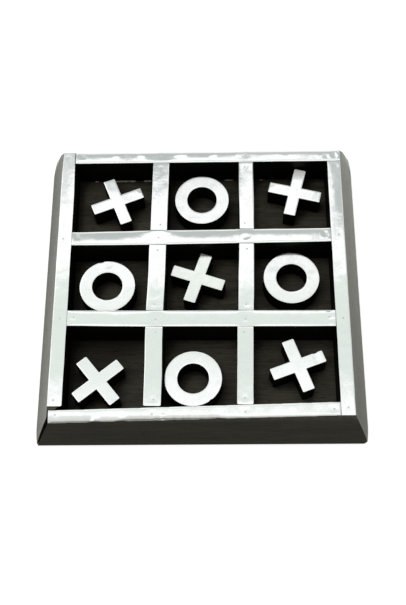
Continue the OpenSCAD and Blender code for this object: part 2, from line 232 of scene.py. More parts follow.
def hand_over(piece, body, node, material, smooth=35, firm=False):
    """Finishes the piece and puts it on its body, in its CAD node's place if it has one.

    Edges blunter than smooth, in degrees, are shaded round, and firm keeps big faces flat.
    """
    if bpy.context.mode != "OBJECT":
        bpy.ops.object.mode_set(mode="OBJECT")
    bpy.ops.object.select_all(action="DESELECT")
    piece.select_set(True)
    bpy.context.view_layer.objects.active = piece
    bpy.ops.object.shade_smooth_by_angle(angle=math.radians(smooth))
    if firm:
        modify(piece, "WEIGHTED_NORMAL", keep_sharp=True, weight=90)
    piece.data.materials.clear()
    piece.data.materials.append(material)
    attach(piece, body)
    if node:
        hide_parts(node)


# Making finishes

class Grade:
    """What comes out of a node. Sums on a number that varies over a surface add Math nodes."""

    def __init__(self, finish, socket):
        self.finish = finish
        self.socket = socket

    def sum(self, operation, first, second):
        return self.finish.node("Math", {"operation": operation}, {0: first, 1: second})

    def __add__(self, other):
        return self.sum("ADD", self, other)

    def __radd__(self, other):
        return self.sum("ADD", other, self)

    def __sub__(self, other):
        return self.sum("SUBTRACT", self, other)

    def __rsub__(self, other):
        return self.sum("SUBTRACT", other, self)

    def __mul__(self, other):
        return self.sum("MULTIPLY", self, other)

    def __rmul__(self, other):
        return self.sum("MULTIPLY", other, self)

    def __abs__(self):
        return self.sum("ABSOLUTE", self, 0.0)

    def between(self, low, high):
        """0 below low, 1 above high, and a soft step between them."""
        return self.finish.node(
            "MapRange", {"interpolation_type": "SMOOTHSTEP"},
            {"Value": self, "From Min": low, "From Max": high, "To Min": 0.0, "To Max": 1.0})


class Finish:
    """A material or the room's light, made up out of nodes."""

    def __init__(self, owner):
        self.owner = owner
        owner.use_nodes = True
        self.tree = owner.node_tree
        self.tree.nodes.clear()

    def node(self, kind, settings, inputs, out=0):
        node = self.tree.nodes.new("ShaderNode" + kind)
        for key, value in settings.items():
            setattr(node, key, value)
        for key, value in inputs.items():
            if isinstance(value, Grade):
                self.tree.links.new(value.socket, node.inputs[key])
            else:
                node.inputs[key].default_value = value
        return Grade(self, node.outputs[out]) if node.outputs else None

    def place(self, stretch=(1, 1, 1), shift=(0, 0, 0), turned=0.0):
        """Places on the piece, for a pattern stretched along the grain."""
        where = self.node("TexCoord", {}, {}, "Object")
        return self.node("Mapping", {"vector_type": "TEXTURE"}, {
            "Vector": where, "Location": [s * MM for s in shift],
            "Rotation": (0, 0, turned), "Scale": stretch})

    def along(self, axis):
        """Place along one axis of the board, in metres."""
        where = self.node("TexCoord", {}, {}, "Object")
        return self.node("SeparateXYZ", {}, {"Vector": where}, axis)

    def mottle(self, where, size, detail=2.0, rough=0.5):
        """Soft patches about so many millimetres across, from 0 to 1."""
        return self.node("TexNoise", {}, {
            "Vector": where, "Scale": 1 / (size * MM), "Detail": detail, "Roughness": rough})

    def blend(self, first, second, share):
        """One colour laid over another by a share."""
        return self.node("Mix", {"data_type": "RGBA"}, {0: share, 6: first, 7: second}, 2)

    def rubbed(self, reach):
        """1 on arrises that hands have rubbed, 0 on flat wood."""
        soft = self.node("Bevel", {"samples": 6}, {"Radius": reach * MM})
        flat = self.node("NewGeometry", {}, {}, "Normal")
        alike = self.node("VectorMath", {"operation": "DOT_PRODUCT"}, {0: soft, 1: flat}, "Value")
        return (1 - alike).between(0.01, 0.12)

    def shade_near_walls(self, reach, way):
        """Painted shade from walls that rise on the given way: 1 close to them, 0 in the open."""
        lean = self.node("CombineXYZ", {}, {"X": way[0], "Y": way[1], "Z": way[2]})
        open_share = self.node("AmbientOcclusion", {"samples": 12}, {
            "Distance": reach * MM, "Normal": lean}, "AO")
        return 1 - open_share.between(0.30, 0.80)

    def relief(self, height, depth, under=None):
        """The surface's fine relief, so many millimetres deep."""
        inputs = {"Height": height, "Distance": depth * MM, "Strength": 1.0}
        if under:
            inputs["Normal"] = under
        return self.node("Bump", {}, inputs)

    def coat(self, inputs):
        """The finished surface."""
        shader = self.node("BsdfPrincipled", {}, inputs)
        self.node("OutputMaterial", {}, {"Surface": shader})
        return self.owner


def tone(red, green, blue):
    """A colour as a screen shows it, from 0 to 255, as the shader takes it."""
    def linear(value):
        value /= 255
        return value / 12.92 if value <= 0.04045 else ((value + 0.055) / 1.055) ** 2.4
    return (linear(red), linear(green), linear(blue), 1.0)


BARE_WOOD = tone(90, 83, 74)
# Near black, used only to paint shade.
PAINTED_SHADE_BLACK = tone(2, 2, 2)

# How far from the middle the frame's flat top goes over into its leaning faces
RIM = (108 * MM, 111 * MM)


def stained_wood(name, along, dark, light, gloss=0.40, shift=0.0, deep=0.0, wall_shade=0.0, twist=0.0,
                 bow=0.0, index=1.17):
    """Black stain rubbed into open-grained wood: fibres, figure, pores and worn arrises.

    Deep is how much blacker the stain is inside the frame, as painted shade in the wells. The floor
    may take painted shade along walls, as strong as the share given for it, mostly along those to
    the left and at the rear, and a patch of painted shade darkens the front left well towards its
    left. The upper part of the outer faces is lighter, partly bare wood worn by handling and partly
    a painted reflection. A side rail's outer face may be twisted, by so many radians for each metre
    of its length, and bowed between its foot and its top.
    """
    finish = Finish(bpy.data.materials.new(name))
    up = finish.along("Z")
    to_left = -1 * finish.along("X")
    to_front = -1 * finish.along("Y")
    stretch = {"x": (16, 1, 1), "y": (1, 16, 1)}[along]
    grain = finish.place(stretch, (shift, shift * 0.7, 0))
    fibre = finish.mottle(grain, 1.1, 4.0, 0.62)
    figure = finish.mottle(grain, 7.0, 2.0, 0.5)
    uneven = finish.mottle(finish.place(shift=(shift, 0, 0)), 26.0, 2.0, 0.55)
    scuff = finish.mottle(finish.place(shift=(0, shift, 0)), 6.0, 3.0, 0.6).between(0.42, 0.62)
    pore = finish.mottle(grain, 0.5, 1.0, 0.5).between(0.60, 0.72)
    outside = (abs(to_left).between(*RIM) + abs(to_front).between(*RIM)).between(0.0, 1.0)
    # Lighter towards the top of the outer faces: partly bare wood worn by handling, partly a
    # painted reflection.
    worn_and_lit_top = up.between(24 * MM, 32 * MM) * (0.5 + 0.5 * scuff)
    front_land = up.between(31.7 * MM, 31.9 * MM) * to_front.between(103 * MM, 106 * MM)

    shade = (0.55 * fibre + 0.45 * figure).between(0.30, 0.70)
    darkest = (*(0.4 * part for part in dark[:3]), 1.0)
    stain = finish.blend(dark, light, 0.75 * shade + 0.35 * uneven - 0.10)
    stain = finish.blend(stain, darkest, 0.8 * pore)
    stain = finish.blend(stain, BARE_WOOD, 0.35 * finish.rubbed(0.55) * scuff)
    stain = finish.blend(stain, BARE_WOOD, 0.60 * worn_and_lit_top * outside)
    # Painted shade: the stain goes blacker inside the frame, in the wells.
    stain = finish.blend(stain, PAINTED_SHADE_BLACK, deep * (1 - outside))
    # Painted shade: the floor goes darker along walls, mostly to the left and rear, and towards the
    # left of the front left well.
    if wall_shade:
        left_well_shade = to_left.between(20 * MM, 70 * MM) * to_front.between(28 * MM, 40 * MM) * (
            1 - to_front.between(55 * MM, 95 * MM))
        stain = finish.blend(stain, PAINTED_SHADE_BLACK, wall_shade * finish.shade_near_walls(10, (-0.5, 0.2, 0.84)))
        stain = finish.blend(stain, PAINTED_SHADE_BLACK, 0.65 * left_well_shade)
    stain = finish.blend(stain, BARE_WOOD, (0.35 + 0.50 * scuff) * front_land)

    relief = finish.relief(fibre + 0.5 * figure - 0.9 * pore, 0.03)
    if twist:
        lean = bow * (up - TOP * MM) - twist * to_front
        relief = finish.relief(1000 * up * lean, 1.0, relief)
    rough = gloss - 0.27 * outside
    return finish.coat({
        "Base Color": stain, "Roughness": rough + 0.07 * fibre + 0.06 * uneven + 0.1 * pore,
        "IOR": index, "Normal": relief})


def sheet_metal(name, along, clean, dull, gloss=0.07, shift=0.0, uneven=0.065, pitted=0.0, lean=0.0,
                film=0.0, hazy=None):
    """Thin bright sheet: faint rolling lines, shallow hammered patches, small scuffs.

    Towards the rear it may be pitted. A face that leans forwards has its lean in radians,
    film is how much a dull skin covers the metal, and hazy gives two places in y and how much
    more it is covered from one to the other.
    """
    finish = Finish(bpy.data.materials.new(name))
    stretch = {"x": (30, 1, 1), "y": (1, 30, 1)}[along]
    drawn = finish.place(stretch, (shift, shift, 0))
    where = finish.place(shift=(shift, 0.6 * shift, 0))
    cloud = finish.mottle(where, 9.0, 2.0, 0.5)
    speck = finish.mottle(where, 2.0, 3.0, 0.55)
    line = finish.mottle(drawn, 0.55, 2.0, 0.5)
    scratch = finish.mottle(finish.place(stretch, (0, 0, shift)), 0.8, 1.0, 0.4).between(0.66, 0.74)
    dulled = (0.6 * cloud + 0.4 * speck).between(0.44, 0.66)
    colour = finish.blend(clean, dull, 0.25 * dulled + 0.12 * line + 0.30 * scratch)

    relief = finish.relief(cloud + 0.12 * speck, uneven)
    relief = finish.relief(line, 0.0012, relief)
    if pitted:
        pit = finish.mottle(finish.place((1, 1.8, 1), (0, shift, 0), 0.5), 1.6, 2.0, 0.6)
        relief = finish.relief(pit * finish.along("Y").between(38 * MM, 92 * MM), pitted, relief)
    if lean:
        relief = finish.relief(1000 * lean * finish.along("Y"), 1.0, relief)

    bare = 1.0 - film
    rough = gloss + 0.05 * dulled + 0.04 * speck + 0.05 * scratch
    if hazy:
        start, end, cover = hazy
        haze = finish.along("Y").between(start * MM, end * MM) * cover
        bare = bare - haze
        rough = rough + 0.3 * haze
    return finish.coat({
        "Base Color": colour, "Metallic": bare, "Roughness": rough, "Normal": relief})


def nail_steel():
    """Little nail heads, hammered bright on top."""
    finish = Finish(bpy.data.materials.new("nail_steel"))
    spot = finish.mottle(finish.place(), 0.7, 3.0, 0.6)
    bright = finish.rubbed(0.25)
    colour = finish.blend(tone(196, 200, 200), tone(234, 237, 237), 0.35 * spot + 0.65 * bright)
    return finish.coat({
        "Base Color": colour, "Metallic": 1.0, "Roughness": 0.22 + 0.20 * spot,
        "Normal": finish.relief(spot, 0.02)})


def varnish_painted_highlight():
    """Dark varnish that ran into a corner and set there, coloured pale as a painted highlight of
    its gloss.
    """
    finish = Finish(bpy.data.materials.new("set_varnish_painted_highlight"))
    cloud = finish.mottle(finish.place(), 1.5, 3.0, 0.6)
    colour = finish.blend(tone(110, 104, 88), tone(196, 188, 168), cloud.between(0.35, 0.7))
    return finish.coat({
        "Base Color": colour, "Roughness": 0.10 + 0.15 * cloud, "IOR": 1.5,
        "Normal": finish.relief(cloud, 0.05)})


BLACK, BLACK_LIT = tone(23, 23, 17), tone(47, 45, 35)
# The bars and pieces in the wells take a much blacker copy of the rails' stain: painted shade.
WELL_SHADE_BLACK, WELL_SHADE_BLACK_PALE = tone(5, 5, 4), tone(15, 15, 12)
SHEET_CLEAN, SHEET_DULL = tone(247, 249, 247), tone(222, 228, 227)
FACE_CLEAN, FACE_DULL = tone(250, 252, 251), tone(232, 237, 236)

WOOD_ACROSS = stained_wood("black_stained_rail_across", "x", BLACK, BLACK_LIT, deep=0.93)
WOOD_LEFT = stained_wood("black_stained_rail_left", "y", BLACK, BLACK_LIT, shift=31, deep=0.93,
                         twist=-0.2, bow=1.2, index=1.12)
WOOD_RIGHT = stained_wood("black_stained_rail_right", "y", BLACK, BLACK_LIT, shift=31, deep=0.93,
                          twist=0.4, bow=-0.6, index=1.19)
BAR_ACROSS = stained_wood("black_stained_bar_across", "x", WELL_SHADE_BLACK, WELL_SHADE_BLACK_PALE, deep=0.5)
BAR_DEEP = stained_wood("black_stained_bar_deep", "y", WELL_SHADE_BLACK, WELL_SHADE_BLACK_PALE, shift=19, deep=0.5)
# The floor takes painted shade along its walls.
FLOOR_WOOD = stained_wood(
    "dark_floor_wood", "x", tone(56, 54, 45), tone(97, 93, 80), shift=57, wall_shade=0.8)
PIECE_WOOD = stained_wood("black_piece_wood", "x", WELL_SHADE_BLACK, WELL_SHADE_BLACK_PALE, shift=83)
STRIP_ACROSS = sheet_metal("facing_sheet_across", "x", SHEET_CLEAN, SHEET_DULL)
STRIP_DEEP = sheet_metal("facing_sheet_deep", "y", SHEET_CLEAN, SHEET_DULL, shift=43, pitted=0.02)
SIDE_SHEET = sheet_metal(
    "facing_sheet_side", "y", SHEET_CLEAN, SHEET_DULL, shift=71, pitted=0.02, lean=0.012)
PIECE_SHEET = sheet_metal("piece_face_sheet", "x", FACE_CLEAN, FACE_DULL, 0.14, 91, 0.03, film=0.15)
LEANING_SHEET = sheet_metal(
    "leaning_piece_face_sheet", "x", FACE_CLEAN, FACE_DULL, 0.12, 29, 0.03, lean=0.035, film=0.10)
BRIGHT_SHEET = sheet_metal(
    "bright_piece_face_sheet", "x", FACE_CLEAN, FACE_DULL, 0.06, 91, 0.008, film=0.03)
HAZY_SHEET = sheet_metal(
    "hazy_piece_face_sheet", "x", FACE_CLEAN, FACE_DULL, 0.07, 97, 0.018, film=0.04,
    hazy=(90, 96, 0.85))
# The centre cross's face is rougher, and greyer and greener in colour: a painted grey-green
# reflection.
DULL_PAINTED_GREY_SHEET = sheet_metal(
    "dull_piece_face_sheet_painted_grey", "x", tone(242, 246, 241), tone(228, 234, 229), 0.16, 67, 0.025,
    film=0.15)
NAIL = nail_steel()
PAINTED_HIGHLIGHT_VARNISH = varnish_painted_highlight()


# Frame rails

# Roundings: a rail's foot, the upper edge of its leaning face, its edges inside and its mitres
FOOT_ROUND = 2.4
EDGE_ROUND = 0.5
INSIDE_ROUND = 0.25
MITRE_ROUND = 0.18

# Worn corners at the foot, and how much of a side rail's foot is worn inwards at its ends
REAR_RADIUS = 10
FRONT_RADIUS = 6
REAR_WORN = 21
FRONT_WORN = 16


def facing_up(face):
    return face.normal.z > 0.99


def facing_down(face):
    return face.normal.z < -0.99


def leaning(face):
    return abs(face.normal.z - math.sin(LEAN)) < 0.05


def upright(face):
    return abs(face.normal.z) < 0.06


def wear_corner(right, rear, radius):
    """Rubs a corner of the frame round at its foot, as a cone that flares downwards."""
    flats = 9
    spare = 0.2
    middle = Vector((right * (FOOT - radius), rear * (FOOT - radius), 0))
    for step in range(flats):
        out = fan(right, rear, 90 * (step + 0.5) / flats)
        saw(middle + (radius + spare) * out, tilted(out, LEAN))


def wear_end(right, rear, length):
    """Wears the last of a side rail's foot inwards in an arc, less so further up."""
    radius = 80
    steeper = 0.27
    middle = Vector((right * (FOOT - radius), rear * (FOOT - length), 0))
    for degrees in (2.5, 5, 7.5):
        out = fan(right, rear, degrees)
        saw(middle + radius * out, tilted(out, LEAN - steeper * math.radians(degrees)))


def make_rail(name, node, low, high, out, cuts, corners, material, edge=EDGE_ROUND):
    """Saws one rail out of a plank: leaning outer face, mitres, worn corners, floor rebate.

    Each cut is a plane: a point on it, and the way to the side that falls off.
    """
    piece = add_block(name, low, high)
    out = Vector(out)
    saw(out * EDGE + Vector((0, 0, TOP)), tilted(out, LEAN))
    for point, away in cuts:
        saw(point, away)
    if out[0]:
        wear_end(out[0], -1, FRONT_WORN)
        wear_end(out[0], 1, REAR_WORN)
    for right, rear, radius in corners:
        wear_corner(right, rear, radius)
    select_all()
    bpy.ops.mesh.normals_make_consistent(inside=False)
    bpy.ops.object.mode_set(mode="OBJECT")
    cutter = add_block("rebate_cutter", (INNER_LEFT - SEAT, inner_front(INNER_LEFT) - SEAT, -2),
                       (INNER_RIGHT + SEAT, INNER_REAR + SEAT, FLOOR_TOP))
    modify(piece, "BOOLEAN", operation="DIFFERENCE", object=cutter, solver="EXACT")
    bpy.data.objects.remove(cutter)
    bpy.ops.object.mode_set(mode="EDIT")
    ease(piece, meeting(leaning, facing_down), FOOT_ROUND, 6)
    ease(piece, meeting(leaning, facing_up), edge, 5)
    ease(piece, meeting(upright, facing_up), INSIDE_ROUND, 2)
    ease(piece, meeting(upright, leaning), MITRE_ROUND, 2)
    hand_over(piece, "board", node, material, 30, firm=True)


# Mitres go through the board's middle. The front left one is open, more so at the top.
MIDDLE = (0, 0, 0)
MITRE_GAP = 1.08
MITRE_OPENS = 0.045
SET_BACK = MITRE_GAP * math.sqrt(2)

FRONT_LINE = (INNER_LEFT, inner_front(INNER_LEFT), 0)
FRONT_AWAY = Vector((-FRONT_SLOPE, 1, 0)).normalized()
FRONT_PLANK = -100

make_rail("rear_rail", "rail_rear", (-FOOT, INNER_REAR, 0), (FOOT, FOOT, TOP), (0, 1, 0),
          [(MIDDLE, (1, -1, 0)), (MIDDLE, (-1, -1, 0))],
          [(1, 1, REAR_RADIUS), (-1, 1, REAR_RADIUS)], WOOD_ACROSS)
make_rail("left_rail", "rail_left", (-FOOT, -FOOT, 0), (INNER_LEFT, FOOT, TOP), (-1, 0, 0),
          [(MIDDLE, (1, 1, 0)), (MIDDLE, (1, -1, 0))],
          [(-1, 1, REAR_RADIUS)], WOOD_LEFT)
make_rail("right_rail", "rail_right", (INNER_RIGHT, -FOOT, 0), (FOOT, FOOT, TOP), (1, 0, 0),
          [(MIDDLE, (-1, 1, 0)), (MIDDLE, (-1, -1, 0))],
          [(1, 1, REAR_RADIUS), (1, -1, FRONT_RADIUS)], WOOD_RIGHT)
make_rail("front_rail", "rail_front", (-FOOT, -FOOT, 0), (FOOT, FRONT_PLANK, TOP), (0, -1, 0),
          [((SET_BACK, 0, 0), (-1, 1, MITRE_OPENS)), (MIDDLE, (1, 1, 0)), (FRONT_LINE, FRONT_AWAY)],
          [(1, -1, FRONT_RADIUS)], WOOD_ACROSS, edge=1.67)


def shade_mitre_gap():
    """A dark piece stands in the open mitre, front left, some way in from the bevels, as painted
    shade in the gap.
    """
    outwards = Vector((-1, -1, 0)).normalized()
    start, end = 147.4, 176.0
    low, high = 0.5, 28.5
    thick = 2.2
    beside = 0.55
    inwards = 2.6
    middle = (start + end) / 2 * outwards + Vector((beside, -beside, (low + high) / 2))
    piece = begin("mitre_gap_shade", bpy.ops.mesh.primitive_cube_add, size=1,
                  rotation=(0, 0, math.pi / 4), location=middle * MM,
                  scale=((end - start) * MM, thick * MM, (high - low) * MM))
    select_all()
    bpy.ops.mesh.subdivide(number_cuts=11)
    foot = (FOOT - inwards) * math.sqrt(2)
    top = (EDGE - inwards) * math.sqrt(2)
    saw(foot * outwards, tilted(outwards, math.atan2(foot - top, TOP)))
    warp(piece, 3.0, 0.2, "NORMAL")
    hand_over(piece, "board", None, BAR_DEEP, 60)


shade_mitre_gap()

for node, material in {
        "floor_panel": FLOOR_WOOD, "row_bar_rear": BAR_ACROSS, "row_bar_front": BAR_ACROSS,
        "column_bar_left": BAR_DEEP, "column_bar_right": BAR_DEEP}.items():
    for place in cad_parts[node].material_slots:
        place.material = material


# Varnish in the corners

def run_varnish(name, left, right, thick):
    """A lumpy bead of varnish where the rear rail meets the floor."""
    off = 0.1
    cell = 0.6
    middle = Vector(((left + right) / 2, INNER_REAR - off, FLOOR_TOP + off))
    piece = begin(name, bpy.ops.mesh.primitive_cylinder_add, vertices=10, radius=thick * MM,
                  depth=(right - left) * MM, rotation=(0, math.pi / 2, 0), location=middle * MM)
    pick(piece, "edges", lambda e: abs(e.verts[0].co.x - e.verts[1].co.x) > MM)
    bpy.ops.mesh.subdivide(number_cuts=round((right - left) / cell))
    for end in (left, right):
        pick(piece, "verts", lambda v: abs(v.co.x - end * MM) < 0.1 * MM)
        squeeze((1, 0.1, 0.1), (end, middle[1], FLOOR_TOP), 2, "SPHERE")
    warp(piece, 3.0, 0.42, "NORMAL")
    hand_over(piece, "board", None, PAINTED_HIGHLIGHT_VARNISH, 60)


for count, (left, right, thick) in enumerate((
        (-91.0, -86.0, 0.60), (-78.0, -54.5, 0.80), (-49.5, -40.8, 0.80), (18.5, 27.8, 0.50),
        (47.0, 52.5, 0.50))):
    run_varnish(f"varnish_bead_{count}", left, right, thick)


# Pins

def pin_places(node):
    """Middles of a node's pin heads in plan."""
    head_top = 32.88
    apart = 3
    heads = []
    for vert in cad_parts[node].data.vertices:
        if vert.co.z > head_top * MM:
            spot = vert.co.xy / MM
            for head in heads:
                if (head[0] - spot).length < apart:
                    head.append(spot)
                    break
            else:
                heads.append([spot])
    return [sum(head, Vector((0, 0))) / len(head) for head in heads]


PINS = {node: pin_places(node) for node in ("rim_pins", "row_pins", "column_pins")}
ALL_PINS = [spot for spots in PINS.values() for spot in spots]


def make_nail(name):
    """One little nail, its head on z = 0: tapered shank, flat underside, flattened dome."""
    radius = 0.45
    shank = 9.4
    tip = 0.6
    piece = begin(name, bpy.ops.mesh.primitive_cylinder_add, vertices=16, radius=radius * MM,
                  depth=shank * MM, location=(0, 0, -shank / 2 * MM))
    pick(piece, "faces", facing_down)
    bpy.ops.mesh.extrude_region_move(TRANSFORM_OT_translate={"value": (0, 0, -tip * MM)})
    bpy.ops.transform.resize(value=(0.15, 0.15, 1))
    pick(piece, "faces", facing_up)
    for rise, size in ((0.0, 1.90), (0.04, 0.96), (0.03, 0.78), (0.015, 0.50)):
        bpy.ops.mesh.extrude_region_move(TRANSFORM_OT_translate={"value": (0, 0, rise * MM)})
        bpy.ops.transform.resize(value=(size, size, 1))
    bpy.ops.object.mode_set(mode="OBJECT")
    return piece


def drive_pins(name, node):
    """Nails hammered in by hand at a node's places, each a little askew."""
    askew = 0.03
    sunk = 0.01
    nails = []
    for count, spot in enumerate(PINS[node]):
        nail = make_nail(f"{name}_{count}")
        nail.location = (spot[0] * MM, spot[1] * MM, (SHEET_TOP - sunk) * MM)
        nail.rotation_euler = (CHANCE.uniform(-askew, askew), CHANCE.uniform(-askew, askew),
                               CHANCE.uniform(0, 6))
        size = CHANCE.uniform(0.9, 1.0)
        nail.scale = (size, size * CHANCE.uniform(0.92, 1.0), 1)
        nails.append(nail)
    bpy.ops.object.select_all(action="DESELECT")
    for nail in nails:
        nail.select_set(True)
    bpy.context.view_layer.objects.active = nails[0]
    bpy.ops.object.transform_apply(location=True, rotation=True, scale=True)
    bpy.ops.object.join()
    nails[0].name = name
    hand_over(nails[0], "board", node, NAIL, 40)


drive_pins("rim_nails", "rim_pins")
drive_pins("row_nails", "row_pins")
drive_pins("column_nails", "column_pins")


# Metal facing

def plan_corner(node, right, rear):
    """A corner of the upper face of a node's strip, in plan."""
    upper = SHEET_TOP - 0.05
    spots = [v.co.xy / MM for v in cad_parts[node].data.vertices if v.co.z > upper * MM]
    return max(spots, key=lambda spot: right * spot[0] + rear * spot[1])


def middle_of(node):
    """Middle of a node in plan."""
    low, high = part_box(node)
    return Vector(((low[0] + high[0]) / 2, (low[1] + high[1]) / 2, 0)) / MM


STRIP_THICK = 0.40
STRIP_ARRIS = 0.10
COLUMNS = [middle_of(f"column_strip_{side}_middle")[0] for side in ("left", "right")]


def hold_down(piece, spot, axis):
    """A pin holds the sheet flat right across, and less so further along it."""
    pick(piece, "verts", lambda v: abs(v.co[axis] - spot[axis] * MM) < 1.1 * MM)
    squeeze((1, 1, 0.05), (0, 0, SHEET_TOP), 22)
    press(piece, near(*spot), (0, 0, -0.05), 3.0)


def round_corners(centre, length, width, radii):
    """Saws the corners of a level sheet round, from the rear left one clockwise."""
    for (right, rear), radius in zip(((-1, 1), (1, 1), (1, -1), (-1, -1)), radii):
        inside = Vector((right * (length / 2 - radius), rear * (width / 2 - radius), 0))
        for degrees in (22.5, 45, 67.5):
            out = fan(right, rear, degrees)
            saw(centre + inside + radius * out, out, close=False)


def taper_ends(piece, centre, length, tapers):
    """Narrows a sheet towards its left end and its right end."""
    for end, taper in zip((-1, 1), tapers):
        pick(piece, "verts", lambda v: abs(v.co.x / MM - centre[0] - end * length / 2) < 0.2)
        squeeze((1, taper, 1), centre, 40)


def crown_sheet(piece, centre, width, crown):
    """Raises a sheet along its middle in a flat arch, and leaves its edges where they were."""
    line = centre[1] * MM
    raised_at_edges = 0.866 * crown
    press(piece, lambda v: abs(v.co.y - line) < 0.01 * MM, (0, 0, crown), width, "SPHERE")
    select_all()
    bpy.ops.transform.translate(value=(0, 0, -raised_at_edges * MM))


def lay_strip(name, node, material, crown=0.5, tilt=0.0, corners=0.3, tapers=(1, 1), longer=0.0,
              edge=0.05, roll=(0.04, 1.0), rear_roll=(), loose=(), dents=()):
    """A strip of sheet, crowned and tilted in degrees between its pins, with uneven edges.

    It is shaped lying from left to right, and then turned to its place. Corners gives one radius,
    or four from the rear left one clockwise, tapers the shares of its width at its ends, and
    longer what it has more than in CAD at its left end. Edge is how deep all its edges are
    hammered down. Roll gives the depth and reach of a further roll where nothing butts against
    it, and rear_roll those of one along its rear edge. Loose lists places in x where a pin only
    dimples it, and dents gives places, moves and reaches.
    """
    rear_left, rear_right = plan_corner(node, -1, 1), plan_corner(node, 1, 1)
    front_left, front_right = plan_corner(node, -1, -1), plan_corner(node, 1, -1)
    across = (rear_right - rear_left + front_right - front_left) / 2
    deep = (rear_left - front_left + rear_right - front_right) / 2
    if across.length > deep.length:
        axis, along, width = 0, across, deep.length
    else:
        axis, along, width = 1, deep, across.length
    length = along.length + longer
    middle = (rear_left + rear_right + front_left + front_right) / 4
    middle = middle - along.normalized() * longer / 2
    centre = Vector((middle[0], middle[1], SHEET_TOP))

    piece = add_sheet(name, length, width, 2 * round(length / 3), 24, centre)
    round_corners(centre, length, width, corners if isinstance(corners, tuple) else (corners,) * 4)
    taper_ends(piece, centre, length, tapers)
    crown_sheet(piece, centre, width, crown)
    turn(math.radians(-tilt), "X", centre)
    turn(math.atan2(along[1], along[0]), "Z", centre)

    low = (min(rear_left[0], front_left[0]), min(front_left[1], front_right[1]))
    high = (max(rear_right[0], front_right[0]), max(rear_left[1], rear_right[1]))
    for spot in ALL_PINS:
        if low[0] < spot[0] < high[0] and low[1] < spot[1] < high[1]:
            if any(abs(spot[0] - place) < 5 for place in loose):
                press(piece, near(*spot), (0, 0, -0.16), 3.0)
            else:
                hold_down(piece, spot, axis)
    for place, move, reach in dents:
        press(piece, near(*place), move, reach)
    warp(piece, 13, 0.06)
    warp(piece, 17, 0.12, "XY"[1 - axis])

    def free_edge(v):
        place = v.co[axis] / MM
        butted = "row" in node and any(abs(place - column) < 6.5 for column in COLUMNS)
        return low[axis] + 2 < place < high[axis] - 2 and not butted
    roll_edges(piece, edge, 0.8)
    roll_edges(piece, *roll, free_edge)
    if rear_roll:
        roll_edges(piece, *rear_roll, lambda v: v.co.y / MM > centre[1] + 3)
    thicken(piece, STRIP_THICK, STRIP_ARRIS)
    hand_over(piece, "board", node, material, 40, firm=True)


lay_strip("left_strip_sheet", "strip_left", SIDE_SHEET, crown=0.3, corners=(0.5, 0.4, 1.1, 1.1),
          tapers=(1, 0.89), edge=0.01, roll=(0.005, 1.0),
          dents=(((-107.0, -103.0), (0, 0, -0.24), 7.0), ((-107.0, 104.0), (-0.35, 0, 0), 50.0)))
REAR_LIFTS = tuple(((x, 110.0), (0, 0, rise), 3.5) for x, rise in (
    (-69.0, 0.16), (-49.0, 0.16), (-19.5, 0.14), (-15.0, 0.16), (9.7, 0.16), (29.0, 0.08)))
REAR_POCKS = tuple(
    ((CHANCE.uniform(88, 110), CHANCE.uniform(104, 111)), (0, 0, CHANCE.uniform(-0.07, 0.02)), 2.2)
    for _ in range(16))
lay_strip("rear_strip_sheet", "strip_rear", STRIP_ACROSS, crown=1.5, tilt=-0.5, longer=0.5,
          roll=(0.20, 2.0), rear_roll=(0.25, 2.6), loose=(-97, 108),
          dents=(*REAR_LIFTS, ((-60.0, 107.0), (0, 0, -0.12), 4.0), *REAR_POCKS))
lay_strip("right_strip_sheet", "strip_right", SIDE_SHEET, corners=(0.4, 0.4, 0.9, 0.5))
lay_strip("rear_row_sheet", "row_strip_rear", STRIP_ACROSS, crown=1.6, tilt=3.1,
          tapers=(0.94, 0.96), roll=(0.20, 2.0), loose=(-97, 35, 97))
lay_strip("front_row_sheet", "row_strip_front", STRIP_ACROSS, crown=0.4, tapers=(0.96, 1),
          roll=(0.15, 2.8), dents=(((-98.0, -35.0), (0, 0.4, 0), 60.0),
              ((-66.0, -33.0), (0, 0, 0.14), 6.0), ((95.0, -33.0), (0, 0, 0.12), 3.5),
              ((98.5, -38.5), (0, 0, 0.12), 3.5)))
lay_strip("left_column_rear_sheet", "column_strip_left_rear", STRIP_DEEP)
lay_strip("left_column_middle_sheet", "column_strip_left_middle", STRIP_DEEP, dents=(
    ((-34.0, 28.0), (-0.4, 0, 0), 40.0), ((-34.0, -27.0), (-0.8, 0, 0), 40.0)))
lay_strip("left_column_front_sheet", "column_strip_left_front", STRIP_DEEP,
          corners=(1.2, 0.3, 0.3, 1.2), dents=(((-34.2, -44.0), (-0.8, 0, 0), 40.0),))
lay_strip("right_column_rear_sheet", "column_strip_right_rear", STRIP_DEEP,
          tapers=(0.93, 0.94), dents=(((36.0, 44.0), (0.9, 0, 0), 60.0),))
lay_strip("right_column_middle_sheet", "column_strip_right_middle", STRIP_DEEP,
          tapers=(0.96, 0.96), dents=(
              ((36.0, 20.0), (0.8, 0, 0), 50.0), ((36.0, -22.0), (0.5, 0, 0), 30.0)))
lay_strip("right_column_front_sheet", "column_strip_right_front", STRIP_DEEP,
          corners=(1.2, 0.3, 0.3, 1.2))


def curl(piece, low, high, first, row, bends):
    """Curls the sheet down between two places in x, by so many degrees at each row of its mesh."""
    mesh = bmesh.from_edit_mesh(piece.data)
    mesh.verts.index_update()
    beyond = [{v.index for v in mesh.verts if low < v.co.x / MM <= high
               and v.co.y / MM < first - k * row - 0.05} for k in range(len(bends))]
    y, z, slope = first, SHEET_TOP, 0.0
    for k, bend in enumerate(bends):
        pick(piece, "verts", lambda v: v.index in beyond[k])
        turn(math.radians(bend), "X", (0, y, z))
        slope += math.radians(bend)
        y -= row * math.cos(slope)
        z -= row * math.sin(slope)


